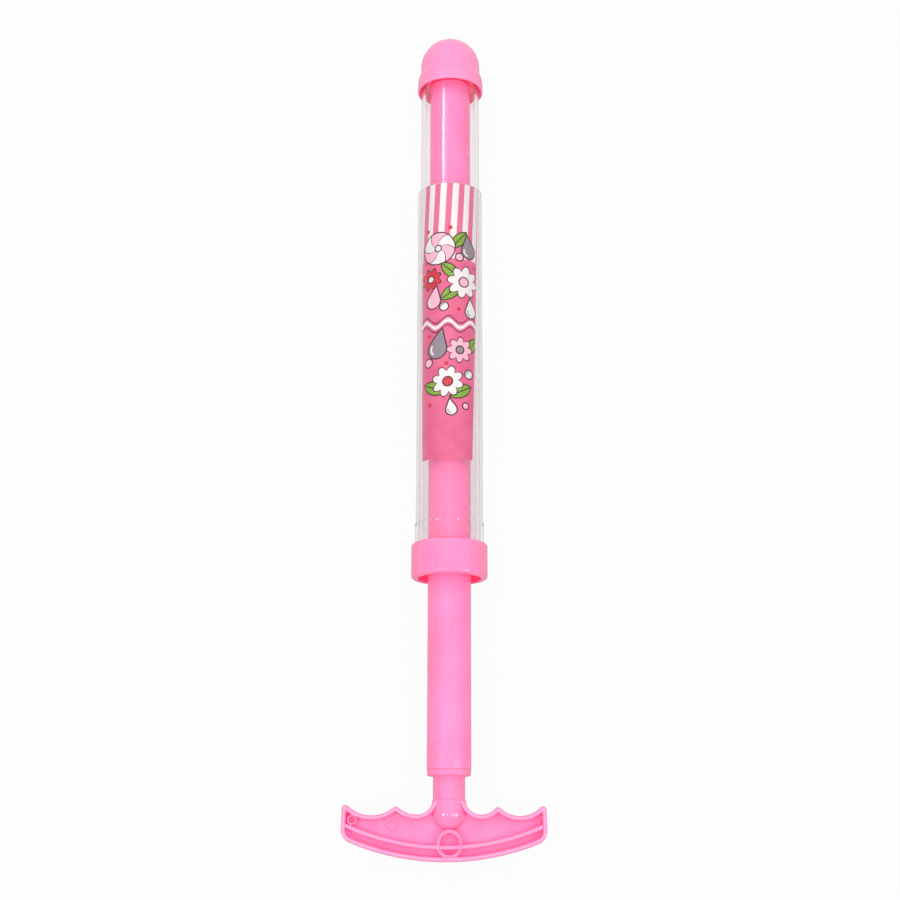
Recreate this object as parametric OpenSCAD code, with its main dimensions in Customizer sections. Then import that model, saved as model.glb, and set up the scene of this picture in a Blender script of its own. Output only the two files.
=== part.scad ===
// Hand-pumped water squirter, lying on its collar with the nozzle towards +Y.
// The barrel's axis is horizontal. Heights along it are counted from the bottom of the handle.

/* [Barrel] */
// Outside diameter of the clear barrel
barrel_od = 32; // [30:0.5:34]
// Wall of the clear barrel
barrel_wall = 1.9; // [1.2:0.1:2.4]
// Length of the clear barrel
barrel_len = 277.8; // [240:1:320]

/* [Sleeve] */
// Gap between the barrel and the sleeve, which holds the label
sleeve_gap = 0.5; // [0.45:0.05:1]
// Wall of the clear sleeve
sleeve_wall = 1; // [0.8:0.1:1.4]
// Length of the clear sleeve
sleeve_len = 205.9; // [180:1:220]
// Extra wall of the sleeve's foot
foot_step = 0.35; // [0.1:0.05:0.6]
// Height of the sleeve's foot
foot_h = 19.4; // [12:0.2:26]

/* [Label] */
// Thickness of the printed sheet
label_t = 0.25; // [0.1:0.05:0.3]
// Length of the printed sheet
label_len = 154.7; // [120:1:175]
// Angle that the sheet wraps around the barrel
label_wrap = 132; // [90:2:200]
// Angle of the sheet's middle, from straight up
label_turn = -2; // [-20:1:20]

/* [Collar] */
// Wall of the collar around the sleeve
collar_wall = 1.85; // [1.2:0.05:3]
// Depth of the seat for the barrel and the sleeve
collar_seat = 9.2; // [6:0.2:12]
// Thickness of the web that guides the rod
web_t = 3; // [2:0.2:5]
// Depth of the recess under the web
recess_h = 6; // [3:0.2:9]
// Wall around the recess
recess_wall = 3.4; // [2:0.1:5]
// Rounding of the collar's edges
collar_round = 1.7; // [0.5:0.1:1.8]

/* [Nozzle cap] */
// Radius of the dome
dome_r = 16.4; // [16.3:0.1:17.2]
// Height of the dome's centre over the barrel's front end
dome_rise = 6.6; // [6.2:0.2:10]
// Depth of the barrel's seat in the cap
cap_seat = 9; // [7:0.2:10]
// Wall of the cap's rim around the barrel
rim_wall = 2.15; // [1.6:0.05:3]
// Height of the straight band at the rim
rim_band = 4; // [2:0.2:5]
// Height of the flare between the band and the dome
flare_h = 8.2; // [7:0.2:9]
// Wall of the dome
dome_wall = 2.3; // [1.6:0.1:2.8]
// Depth of the piston's ledge from the barrel's front end
ledge_depth = 4.9; // [3.5:0.1:6]
// Width of the piston's ledge
ledge_w = 1.5; // [1:0.1:2.5]
// Diameter of the jet hole
jet_d = 3; // [1.5:0.1:5]
// Wall of the jet's tube
jet_wall = 2.2; // [1.5:0.1:3]
// Length of the jet's tube below the dome
jet_tube = 6; // [3:0.2:8]

/* [Rod] */
// Outside diameter of the plunger rod
rod_od = 22.2; // [20:0.1:23]
// Wall of the plunger rod
rod_wall = 1.5; // [1:0.1:1.9]
// Length of the plunger rod
rod_len = 376.5; // [350:1:420]

/* [Piston] */
// Length of the piston
piston_len = 11; // [10:0.2:14]
// Gap between the piston and the barrel
piston_gap = 0.4; // [0.3:0.05:0.6]
// Length of the piston's plug in the rod
piston_plug = 12; // [8:0.5:20]
// Diameter of the hole in the piston's plug
plug_core_d = 13; // [8:0.5:14]
// Section diameter of the two sealing rings
ring_d = 2.4; // [2:0.1:2.6]
// Distance of each ring's middle from the piston's ends
ring_inset = 3; // [2.6:0.1:3.4]

/* [Tail plug] */
// Height of the tail plug's flange
flange_h = 3.3; // [2:0.1:6]
// Step of the flange inside the rod's outside
flange_step = 0.15; // [0.05:0.05:0.5]
// Rounding of the flange's lower edge
flange_round = 1.1; // [0.3:0.1:1.5]
// Length of the tail plug in the rod
tail_len = 12; // [8:0.5:20]

/* [Handle] */
// Reach of the left arm from the axis
arm_left = 53.2; // [48:0.2:60]
// Reach of the right arm from the axis
arm_right = 48.6; // [46:0.2:60]
// Distance of the left knuckle from the axis
knuckle_left = 26.6; // [24:0.2:30]
// Distance of the right knuckle from the axis
knuckle_right = 24.1; // [22:0.2:28]
// Height of the arms' tips
tip_h = 27.3; // [25:0.1:30]
// Flat at each tip, from the arm's end to the scallop
tip_w = 2.2; // [1:0.1:4]
// Height of the knuckles
knuckle_h = 26.6; // [24:0.1:30]
// Depth of the finger scallops
scallop_depth = 4.5; // [3:0.1:6]
// Radius of the handle's bottom edge
bottom_r = 140; // [110:1:200]
// Radius of the bottom corners
corner_r = 7; // [4:0.2:9]
// Width of the raised rim
rim_w = 2.4; // [1.6:0.1:3]
// Thickness over the raised rim
rim_t = 12; // [9:0.2:14]
// Thickness of the web
web_plate_t = 2.4; // [1.6:0.1:4]
// Radius of the curved rib
rib_r = 134; // [110:1:200]
// Height of the curved rib at the axis
rib_h = 6.9; // [5:0.1:9]
// Width of the curved rib
rib_w = 1.8; // [1.2:0.1:3]
// Thickness over the ribs and the ring
rib_t = 10.4; // [7:0.2:14]
// Outside radius of the ring
ring_boss_r = 6.9; // [5:0.1:8]
// Wall of the ring
ring_boss_wall = 2; // [1:0.1:3]
// Height of the ring's centre
ring_boss_h = 8.5; // [7:0.1:10]

/* [Stem] */
// Diameter of the stem
stem_d = 16; // [12:0.2:16.4]
// Radius of the ball at the stem's root
ball_r = 8.1; // [8:0.1:9]
// Height of the ball's centre
ball_h = 23.3; // [20:0.1:26]
// Height of the neck's top
neck_h = 29.4; // [28:0.1:32]
// Wall of the neck around the stem
neck_wall = 0.5; // [0.2:0.1:2]
// Length of the stem between the neck and the tail plug
stem_len = 11.5; // [6:0.5:30]

/* [Fits] */
// Radial play of pieces that are pressed or glued together
fit = 0.05; // [0.02:0.01:0.1]
// Radial play of the rod in the collar
rod_play = 0.25; // [0.15:0.05:0.4]
// Play around the sealing rings
seal_play = 0.05; // [0.02:0.01:0.1]
// Gap between the piston and its ledge when pushed home
stop_gap = 0.3; // [0.2:0.05:1]

/* [Hidden] */
$fn = 96;
pink = [1, 0.53, 0.74];
clear = [0.9, 0.92, 0.94, 0.35];
print_pink = [0.93, 0.45, 0.59];
seal_red = [0.8, 0.16, 0.3];
past = 1; // how far a cut runs past the face it opens

// Radii
barrel_r = barrel_od / 2;
bore_r = barrel_r - barrel_wall;
sleeve_in_r = barrel_r + sleeve_gap;
sleeve_r = sleeve_in_r + sleeve_wall;
foot_r = sleeve_r + foot_step;
collar_r = foot_r + fit + collar_wall;
label_in_r = barrel_r + (sleeve_gap - label_t) / 2;
rim_r = barrel_r + fit + rim_wall;
rod_r = rod_od / 2;
rod_in_r = rod_r - rod_wall;
plug_r = rod_in_r - fit;
piston_r = bore_r - piston_gap;
ring_r = ring_d / 2;
ring_mid_r = bore_r - seal_play - ring_r;
groove_r = ring_mid_r - ring_r - seal_play;
flange_r = rod_r - flange_step;
stem_r = stem_d / 2;
jet_r = jet_d / 2;

// Heights along the axis, from the handle's bottom
flange_a = neck_h + stem_len;
rod_a = flange_a + flange_h;
piston_a = rod_a + rod_len;
piston_end = piston_a + piston_len;
ledge_a = piston_end + stop_gap;
barrel_end = ledge_a - ledge_depth;
barrel_a = barrel_end - barrel_len;
collar_end = barrel_a + collar_seat;
collar_a = barrel_a - web_t - recess_h;
foot_end = barrel_a + foot_h;
sleeve_end = barrel_a + sleeve_len;
label_a = sleeve_end - label_len;
rim_a = barrel_end - cap_seat;
dome_a = barrel_end + dome_rise;
total_len = dome_a + dome_r;
ring_heights = [piston_a + ring_inset, piston_end - ring_inset];

// Place of the axis: the origin is under the middle of the whole object
axis_x = (arm_left - arm_right) / 2;
axis_z = collar_r;

// Lays a piece that was drawn around its own Z axis along the barrel's axis
module laid() {
    translate([axis_x, -total_len / 2, axis_z]) rotate([-90, 0, 0]) children();
}

// A ring or tube from its section, drawn as [radius, height]
module turned() {
    laid() rotate_extrude() children();
}

// A rectangle of a section, from radius r0 to r1 and from height a0 to a1
module band(r0, r1, a0, a1) {
    translate([r0, a0]) square([r1 - r0, a1 - a0]);
}

// The part of an upright band whose outer edges are rounded with radius e
module round_band(r1, a0, a1, e) {
    band(0, r1, a0 + e, a1 - e);
    band(0, r1 - e, a0, a1);
    for (a = [a0 + e, a1 - e]) translate([r1 - e, a]) circle(r = e);
}

// S-shaped flare from radius r0 at height 0 to the smaller radius r1 at height h, as two equal arcs
module flare(r0, r1, h) {
    bend = (pow(r0 - r1, 2) + pow(h, 2)) / (4 * (r0 - r1));
    intersection() {
        translate([r0 - bend, 0]) circle(r = bend, $fn = 4 * $fn);
        band(0, r0, 0, h / 2);
    }
    difference() {
        band(0, r0, h / 2, h);
        translate([r1 + bend, h]) circle(r = bend, $fn = 4 * $fn);
    }
}

// Quarter disc over the axis, for a dome with its centre at height a
module dome_section(r, a) {
    intersection() {
        translate([0, a]) circle(r = r);
        band(0, r, a, a + r);
    }
}

module nozzle_cap() color(pink) turned() difference() {
    union() {
        difference() {
            union() {
                band(0, rim_r, rim_a, rim_a + rim_band);
                translate([0, rim_a + rim_band]) flare(rim_r, dome_r, flare_h);
                band(0, dome_r, rim_a + rim_band + flare_h, dome_a);
                dome_section(dome_r, dome_a);
            }
            band(0, barrel_r + fit, rim_a - past, barrel_end);
            band(0, bore_r, rim_a - past, ledge_a);
            intersection() {
                union() {
                    band(0, dome_r, ledge_a, dome_a);
                    dome_section(dome_r - dome_wall, dome_a);
                }
                band(0, bore_r - ledge_w, ledge_a - past, total_len);
            }
        }
        intersection() {
            band(0, jet_r + jet_wall, total_len - dome_wall - jet_tube, total_len);
            dome_section(dome_r - dome_wall / 2, dome_a);
        }
    }
    band(0, jet_r, rim_a - past, total_len + past);
}

module barrel_tube() color(clear) turned() band(bore_r, barrel_r, barrel_a, barrel_end);

module sleeve_tube() color(clear) turned() {
    band(sleeve_in_r, sleeve_r, barrel_a, sleeve_end);
    band(sleeve_in_r, foot_r, barrel_a, foot_end);
}

module label_sheet() color(print_pink) laid() rotate([0, 0, label_turn - 90 - label_wrap / 2])
    rotate_extrude(angle = label_wrap) band(label_in_r, label_in_r + label_t, label_a, sleeve_end);

module collar() color(pink) turned() difference() {
    round_band(collar_r, collar_a, collar_end, min(collar_round, collar_wall * 0.95));
    band(0, foot_r + fit, barrel_a, collar_end + past);
    band(0, rod_r + rod_play, collar_a - past, collar_end);
    band(0, collar_r - recess_wall, collar_a - past, collar_a + recess_h);
}

// One sealing ring with its middle at height a
module piston_ring(a) color(seal_red) turned() translate([ring_mid_r, a]) circle(r = ring_r);
module piston_ring_front() piston_ring(ring_heights[1]);
module piston_ring_rear() piston_ring(ring_heights[0]);

module piston_head() color(pink) turned() difference() {
    union() {
        band(0, piston_r, piston_a, piston_end);
        band(0, plug_r, piston_a - piston_plug, piston_a);
    }
    band(0, plug_core_d / 2, piston_a - piston_plug - past, piston_a);
    for (a = ring_heights)
        band(groove_r, piston_r + past, a - ring_r - seal_play, a + ring_r + seal_play);
}

module rod_tube() color(pink) turned() band(rod_in_r, rod_r, rod_a, piston_a);

module tail_plug() color(pink) turned() {
    hole_r = stem_r + fit;
    difference() {
        union() {
            band(hole_r, flange_r, flange_a + flange_round, rod_a);
            band(hole_r, flange_r - flange_round, flange_a, rod_a);
            translate([flange_r - flange_round, flange_a + flange_round]) circle(r = flange_round);
        }
        band(0, hole_r, flange_a - past, rod_a + past);
    }
    band(hole_r, plug_r, rod_a, rod_a + tail_len);
}

// Circle that cuts one scallop between two heights of like size, set back by inset
module scallop(u0, u1, top, inset) {
    chord = u1 - u0;
    r = (pow(chord / 2, 2) + pow(scallop_depth, 2)) / (2 * scallop_depth);
    translate([(u0 + u1) / 2, top - scallop_depth + r]) circle(r = r + inset, $fn = 2 * $fn);
}

// Outside of the bottom corner of an arm, where the arm's side runs into the bottom arc
module corner(arm, inset) {
    mid_u = arm - corner_r;
    mid_v = bottom_r - sqrt(pow(bottom_r - corner_r, 2) - pow(mid_u, 2));
    slant = atan2(mid_u, bottom_r - mid_v);
    out = 2 * corner_r;
    foot = [mid_u + out * sin(slant), mid_v - out * cos(slant)];
    difference() {
        polygon([[mid_u, mid_v], foot, [mid_u + out, foot[1]], [mid_u + out, mid_v]]);
        translate([mid_u, mid_v]) circle(r = corner_r - inset);
    }
}

// One arm of the handle, to the right of the axis, with every edge set back by inset
module arm(reach, knuckle, inset) {
    difference() {
        intersection() {
            translate([0, bottom_r]) circle(r = bottom_r - inset, $fn = 4 * $fn);
            translate([-past, -past]) square([reach - inset + past, tip_h - inset + past]);
        }
        scallop(knuckle, reach - tip_w, knuckle_h, inset);
        scallop(stem_r, knuckle, knuckle_h, inset);
        corner(reach, inset);
    }
}

// Outline of the whole grip, with every edge set back by inset
module grip(inset) {
    arm(arm_right, knuckle_right, inset);
    mirror([1, 0]) arm(arm_left, knuckle_left, inset);
}

// A plate of thickness t in the handle's own plane
module plate(t) {
    translate([axis_x, -total_len / 2, axis_z - t / 2]) linear_extrude(t) children();
}

module handle() color(pink) {
    plate(rim_t) difference() {
        grip(0);
        grip(rim_w);
    }
    plate(web_plate_t) grip(0);
    plate(rib_t) intersection() {
        grip(rim_w / 2);
        translate([0, rib_h + rib_r]) difference() {
            circle(r = rib_r + rib_w / 2, $fn = 4 * $fn);
            circle(r = rib_r - rib_w / 2, $fn = 4 * $fn);
        }
    }
    plate(rib_t) translate([0, ring_boss_h]) difference() {
        circle(r = ring_boss_r);
        circle(r = ring_boss_r - ring_boss_wall);
    }
    laid() translate([0, 0, ball_h]) sphere(r = ball_r);
    turned() band(0, stem_r, ball_h, rod_a + tail_len);
    turned() band(0, stem_r + neck_wall, ball_h, neck_h);
}

nozzle_cap();
barrel_tube();
sleeve_tube();
label_sheet();
collar();
piston_ring_front();
piston_ring_rear();
piston_head();
rod_tube();
tail_plug();
handle();
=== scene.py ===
# Hand-pumped water squirter: pink pump, clear barrel and sleeve, printed sheet between them
import math

import bmesh
import bpy
import numpy as np
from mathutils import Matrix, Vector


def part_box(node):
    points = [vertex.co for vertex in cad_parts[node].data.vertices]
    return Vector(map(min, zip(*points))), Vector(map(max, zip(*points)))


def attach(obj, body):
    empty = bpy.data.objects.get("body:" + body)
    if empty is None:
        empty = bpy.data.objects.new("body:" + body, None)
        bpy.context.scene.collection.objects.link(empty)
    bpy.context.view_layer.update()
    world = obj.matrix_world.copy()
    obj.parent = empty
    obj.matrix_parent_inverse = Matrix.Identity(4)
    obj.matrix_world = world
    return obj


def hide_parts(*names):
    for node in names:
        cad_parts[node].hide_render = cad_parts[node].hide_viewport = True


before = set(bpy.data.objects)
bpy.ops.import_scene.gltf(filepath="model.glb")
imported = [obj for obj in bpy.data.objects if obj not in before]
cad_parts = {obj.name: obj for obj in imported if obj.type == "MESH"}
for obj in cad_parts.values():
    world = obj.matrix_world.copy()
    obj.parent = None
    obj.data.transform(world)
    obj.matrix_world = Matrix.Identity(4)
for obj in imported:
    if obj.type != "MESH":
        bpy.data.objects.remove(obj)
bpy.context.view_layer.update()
print("frame loaded,", len(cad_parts), "solids")

mm = 0.001
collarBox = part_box("collar")
axisX = (collarBox[0].x + collarBox[1].x) / 2  # the barrel's axis runs along Y
axisZ = (collarBox[0].z + collarBox[1].z) / 2
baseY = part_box("handle")[0].y  # heights along the axis start at the handle's bottom


def ends(node):  # lowest and highest height of a solid along the axis, in mm
    low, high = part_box(node)
    return (low.y - baseY) / mm, (high.y - baseY) / mm


# Mesh tools. Points are [across, height, up] in mm from the axis and the handle's bottom.

def gridFaces(rows, columns, wrapRows=False, wrapColumns=False):
    # quads between neighbours of a grid that is counted row by row
    r = np.arange(rows if wrapRows else rows - 1)
    c = np.arange(columns if wrapColumns else columns - 1)
    r, c = np.meshgrid(r, c, indexing="ij")
    rn, cn = (r + 1) % rows, (c + 1) % columns
    quads = [r * columns + c, r * columns + cn, rn * columns + cn, rn * columns + c]
    return np.stack(quads, axis=-1).reshape(-1, 4)


def rounded(corners, steps=7):
    # each corner (x, y, radius) becomes an arc that touches both of its sides
    c = np.asarray(corners, float)
    p, size = c[:, :2], c[:, 2:]
    back, on = np.roll(p, 1, 0) - p, np.roll(p, -1, 0) - p
    back /= np.linalg.norm(back, axis=1, keepdims=True)
    on /= np.linalg.norm(on, axis=1, keepdims=True)
    half = np.arccos(np.clip((back * on).sum(1, keepdims=True), -1, 1)) / 2
    middle = back + on
    middle /= np.linalg.norm(middle, axis=1, keepdims=True) + 1e-12
    centre = p + middle * size / np.sin(half)
    start = back * size / np.tan(half) + p - centre
    stop = on * size / np.tan(half) + p - centre
    first = np.arctan2(start[:, 1], start[:, 0])
    turn = (np.arctan2(stop[:, 1], stop[:, 0]) - first + np.pi) % (2 * np.pi) - np.pi
    angle = first[:, None] + turn[:, None] * np.linspace(0, 1, steps)
    arc = np.stack([np.cos(angle), np.sin(angle)], axis=-1) * size[:, None]
    return (centre[:, None] + arc).reshape(-1, 2)


def arcPoints(centre, radius, firstDeg, lastDeg, steps):
    # equal steps along a circle
    t = np.radians(np.linspace(firstDeg, lastDeg, steps))
    return np.column_stack([centre[0] + radius * np.cos(t), centre[1] + radius * np.sin(t)])


def spun(section, segments, closed, turnDeg=0.0):
    # (radius, height) points carried round an axis: r cos t, r sin t and the height
    r, h = section[:, :1], section[:, 1:]
    t = np.linspace(0, 2 * np.pi, segments, endpoint=False) + math.radians(turnDeg)
    return r * np.cos(t), r * np.sin(t), h + 0 * t, gridFaces(len(section), segments, closed, True)


def turnedShell(section, segments=192, closed=True):  # round the barrel's axis
    up, across, height, quads = spun(section, segments, closed)
    return np.stack([across, height, up], axis=-1).reshape(-1, 3), quads


def uprightShell(section, at, segments, turnDeg=0.0):  # round an upright axis through the point at
    x, y, up, quads = spun(section, segments, True, turnDeg)
    return np.stack([at[0] + x, at[1] + y, up], axis=-1).reshape(-1, 3), quads


def makePiece(name, shells, materials, sharpDeg=40, faceSlots=None, sheetMap=None, crest=None, caps=()):
    # joins shells into one mesh in metres, merges points that fall together and smooths it
    starts = np.cumsum([0] + [len(points) for points, quads in shells[:-1]])
    points = np.concatenate([points for points, quads in shells])
    quads = np.concatenate([quads + start for (p, quads), start in zip(shells, starts)])
    mesh = bpy.data.meshes.new(name)
    placed = points * mm + np.array([axisX, baseY, axisZ])
    mesh.from_pydata(placed, [], quads.tolist() + list(caps))
    for material in materials:
        mesh.materials.append(material)
    if faceSlots is not None:
        mesh.polygons.foreach_set("material_index", faceSlots.astype(np.int32))
    if sheetMap is not None:
        corner = np.zeros(len(mesh.loops), np.int32)
        mesh.loops.foreach_get("vertex_index", corner)
        layer = mesh.uv_layers.new(name="sheetMap")
        layer.data.foreach_set("uv", sheetMap[corner].astype(np.float32).ravel())
    if crest is not None:
        mesh.attributes.new("crest", "FLOAT", "POINT").data.foreach_set("value", crest.astype(np.float32))
    work = bmesh.new()
    work.from_mesh(mesh)
    bmesh.ops.remove_doubles(work, verts=work.verts, dist=1e-7)
    bmesh.ops.dissolve_degenerate(work, edges=work.edges, dist=1e-8)
    work.to_mesh(mesh)
    work.free()
    mesh.shade_smooth()
    mesh.set_sharp_from_angle(angle=math.radians(sharpDeg))
    piece = bpy.data.objects.new(name, mesh)
    bpy.context.scene.collection.objects.link(piece)
    even = piece.modifiers.new("evenShading", "WEIGHTED_NORMAL")  # long walls keep their own normal
    even.keep_sharp = True
    print("  piece", name, len(mesh.polygons), "faces")
    return piece


def settle(piece, body, node):
    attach(piece, body)
    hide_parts(node)


# Node tools

def feed(tree, socket, value):
    if isinstance(value, bpy.types.NodeSocket):
        tree.links.new(value, socket)
    else:
        socket.default_value = value


def put(tree, kind, inputs=None, **settings):
    node = tree.nodes.new(kind)
    for key, value in settings.items():
        setattr(node, key, value)
    for key, value in (inputs or {}).items():
        feed(tree, node.inputs[key], value)
    return node


def calc(tree, operation, *values):
    return put(tree, "ShaderNodeMath", dict(enumerate(values)), operation=operation).outputs[0]


def times(tree, *values):
    return calc(tree, "MULTIPLY", *values)


def minus(tree, *values):
    return calc(tree, "SUBTRACT", *values)


def timesPlus(tree, *values):  # the product of the first two, plus the third
    return calc(tree, "MULTIPLY_ADD", *values)


def ramp(tree, value, low, high, toLow=0.0, toHigh=1.0):
    # smooth step of value from low to high
    inputs = dict(enumerate((value, low, high, toLow, toHigh)))
    return put(tree, "ShaderNodeMapRange", inputs, interpolation_type="SMOOTHSTEP").outputs[0]


def mixColour(tree, factor, a, b, blend="MIX"):
    inputs = {0: factor, 6: a, 7: b}
    return put(tree, "ShaderNodeMix", inputs, data_type="RGBA", blend_type=blend).outputs[2]


def mixValue(tree, factor, a, b):
    return put(tree, "ShaderNodeMix", {0: factor, 2: a, 3: b}, data_type="FLOAT").outputs[0]


def objectPlace(tree):
    return put(tree, "ShaderNodeTexCoord").outputs["Object"]


def noiseAt(tree, vector, scale, detail=2.0, roughness=0.5):
    settings = {"Vector": vector, "Scale": scale, "Detail": detail, "Roughness": roughness}
    return put(tree, "ShaderNodeTexNoise", settings).outputs[0]


def stretched(tree, vector, scale):
    return put(tree, "ShaderNodeMapping", {"Vector": vector, "Scale": scale}).outputs[0]


def newGroup(name, inputs, outputs):  # the labels of the sockets come sorted by kind
    group = bpy.data.node_groups.new(name, "ShaderNodeTree")
    for way, sockets in (("INPUT", inputs), ("OUTPUT", outputs)):
        for kind, labels in sockets.items():
            for label in labels.split():
                group.interface.new_socket(label, in_out=way, socket_type="NodeSocket" + kind)
    return group, group.nodes.new("NodeGroupInput").outputs, group.nodes.new("NodeGroupOutput").inputs


def useGroup(tree, group, inputs=None):
    return put(tree, "ShaderNodeGroup", inputs, node_tree=group).outputs


def newMaterial(name):
    material = bpy.data.materials.new(name)
    material.use_nodes = True
    tree = material.node_tree
    tree.nodes.clear()
    return material, tree, put(tree, "ShaderNodeOutputMaterial").inputs["Surface"]


def principled(tree, surface, inputs):
    feed(tree, surface, put(tree, "ShaderNodeBsdfPrincipled", inputs).outputs[0])


def colour(red, green, blue):  # screen values 0 to 255 as a linear colour
    c = np.array([red, green, blue]) / 255
    c = np.where(c <= 0.04045, c / 12.92, ((c + 0.055) / 1.055) ** 2.4)
    return (*c.tolist(), 1.0)


# Finishes

finishes = {
    "pink": colour(255, 136, 183),
    "deepPink": colour(254, 116, 167),
    # painted light: the cap is a lighter copy of the pink, for the extra light that falls on its dome
    "capLitPink": colour(255, 146, 190),
    "capLitDeep": colour(254, 127, 175),
    "rodPink": colour(255, 134, 185),
    "rodDeep": colour(254, 114, 169),
    # painted shade: piston and seals are a deep red, for the shaded red hollow under the cap
    "pistonShadeRed": colour(244, 72, 116),
    "pistonShadeDeep": colour(232, 54, 98),
    "throughPink": (0.98, 0.09, 0.55, 1.0),
    "barrelClear": colour(251, 246, 248),
    "barrelDull": colour(247, 242, 244),
    "sleeveClear": colour(252, 248, 248),
    "sleeveDull": colour(247, 243, 243),
    # painted shade: greyer tint on the sleeve's step, for the dark line along its edge
    "stepShadeClear": colour(230, 212, 216),
    "stepShadeDull": colour(223, 203, 208),
    "clearEdge": colour(226, 222, 223),
    "cutPale": colour(206, 198, 200),
    "cutDull": colour(188, 178, 182),
    # painted highlight along the middle of the handle's rims and ribs
    "crestHighlightPink": colour(255, 154, 193),
    "sealShadeRed": colour(222, 46, 86),
    "dust": colour(238, 104, 138),
    "paper": colour(244, 241, 238),
    "paperFibre": colour(226, 221, 216),
}


def mouldedFinish():
    # cloudy colour, flow lines along the part and fine orange peel of moulded plastic
    group, given, made = newGroup("mouldedFinish", {"Color": "Colour Deep", "Float": "Gloss"},
                                  {"Color": "Colour", "Float": "Roughness Height"})
    place = objectPlace(group)
    cloud = noiseAt(group, place, 55, 3)
    flow = noiseAt(group, stretched(group, place, (420, 26, 420)), 1, 4, 0.6)
    peel = noiseAt(group, place, 900, 2)
    scuff = noiseAt(group, stretched(group, place, (900, 160, 900)), 1, 3, 0.7)
    deepness = timesPlus(group, ramp(group, cloud, 0.3, 0.75), 0.45,
                         times(group, ramp(group, flow, 0.35, 0.75), 0.25))
    feed(group, made["Colour"], mixColour(group, deepness, given["Colour"], given["Deep"]))
    wear = times(group, ramp(group, scuff, 0.58, 0.8), 0.14)
    rough = timesPlus(group, cloud, 0.1, calc(group, "ADD", given["Gloss"], wear))
    feed(group, made["Roughness"], rough)
    feed(group, made["Height"], timesPlus(group, flow, 0.6, times(group, peel, 0.4)))
    return group


def drawnLines():
    # faint lines along the barrel's axis, as left on a drawn tube
    group, given, made = newGroup("drawnLines", {"Float": "Fineness"}, {"Float": "Streak Height"})
    place = objectPlace(group)
    along = stretched(group, place, (620, 3, 620))
    fine = put(group, "ShaderNodeVectorMath", {0: along, "Scale": given["Fineness"]}, operation="SCALE")
    lines = noiseAt(group, fine.outputs[0], 1, 3, 0.6)
    broad = noiseAt(group, stretched(group, place, (160, 2, 160)), 1, 2)
    streak = timesPlus(group, lines, 0.6, times(group, broad, 0.4))
    feed(group, made["Streak"], ramp(group, streak, 0.3, 0.7))
    feed(group, made["Height"], streak)
    return group


moulded = mouldedFinish()
drawn = drawnLines()


def bumped(tree, height, strength, distance):
    settings = {"Height": height, "Strength": strength, "Distance": distance}
    return put(tree, "ShaderNodeBump", settings).outputs[0]


def pinkPlastic(name, gloss, light="pink", deep="deepPink", withLines=False, withCrest=False):
    # glossy pink plastic whose walls let some red light through
    material, tree, surface = newMaterial(name)
    finish = useGroup(tree, moulded, {"Colour": finishes[light], "Deep": finishes[deep], "Gloss": gloss})
    tone, height = finish["Colour"], finish["Height"]
    if withLines:
        height = calc(tree, "ADD", height, useGroup(tree, drawn, {"Fineness": 0.6})["Height"])
    if withCrest:  # painted highlight: rims and ribs are paler along their middle
        worn = put(tree, "ShaderNodeAttribute", attribute_name="crest").outputs["Fac"]
        tone = mixColour(tree, worn, tone, finishes["crestHighlightPink"])
    shader = put(tree, "ShaderNodeBsdfPrincipled", {
        "Base Color": tone, "Roughness": finish["Roughness"], "Specular IOR Level": 0.5,
        "Normal": bumped(tree, height, 0.05, 0.0005)})
    glow = put(tree, "ShaderNodeBsdfTransparent", {"Color": finishes["throughPink"]})
    inShade = put(tree, "ShaderNodeLightPath").outputs["Is Shadow Ray"]
    whole = put(tree, "ShaderNodeMixShader", {0: inShade, 1: shader.outputs[0], 2: glow.outputs[0]})
    feed(tree, surface, whole.outputs[0])
    return material


clearShape = {"bending": 1.15, "stepShadeBending": 1.04, "coatBending": 1.45, "coatRough": 0.1}


def clearPlastic(name, light, dull, bending):
    # clear tube, a little greyer where it is seen at a low angle
    material, tree, surface = newMaterial(name)
    lines = useGroup(tree, drawn, {"Fineness": 1.0})
    tint = mixColour(tree, lines["Streak"], finishes[light], finishes[dull])
    facing = put(tree, "ShaderNodeLayerWeight", {"Blend": 0.5}).outputs["Facing"]
    tint = mixColour(tree, ramp(tree, facing, 0.5, 0.9), tint, finishes["clearEdge"])  # thicker at a glance
    outside = minus(tree, 1.0, put(tree, "ShaderNodeNewGeometry").outputs["Backfacing"])
    principled(tree, surface, {
        "Base Color": tint, "Roughness": times(tree, lines["Streak"], 0.006),
        "IOR": clearShape[bending], "Transmission Weight": 1.0, "Coat Weight": outside,
        "Coat Roughness": clearShape["coatRough"], "Coat IOR": clearShape["coatBending"]})
    return material


# stretch, detail and roughness of the noise, its span, what it adds to roughness, bump strength and depth
grains = {
    "cutEdge": ((2400, 200, 300), 3, 0.6, (0.35, 0.7), (0.2, 0.3), (0.1, 0.0001)),
    "sealRubber": ((700, 700, 700), 4, 0.65, (0.42, 0.72), (0.25, 0.45), (0.1, 0.0002)),
    "paperBack": ((900, 2600, 900), 4, 0.7, None, (0.2, 0.6), (0.2, 0.0001)),
}


def grainyFinish(name, light, dull, share=1.0, alpha=1.0):
    # two tones mixed by a grain that also roughens and dents the surface
    material, tree, surface = newMaterial(name)
    stretch, detail, roughness, span, rough, bump = grains[name]
    grain = noiseAt(tree, stretched(tree, objectPlace(tree), stretch), 1, detail, roughness)
    if span:
        grain = ramp(tree, grain, *span)
    principled(tree, surface, {
        "Base Color": mixColour(tree, times(tree, grain, share), finishes[light], finishes[dull]),
        "Roughness": timesPlus(tree, grain, *rough), "Alpha": alpha,
        "Normal": bumped(tree, grain, *bump)})
    return material


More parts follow.
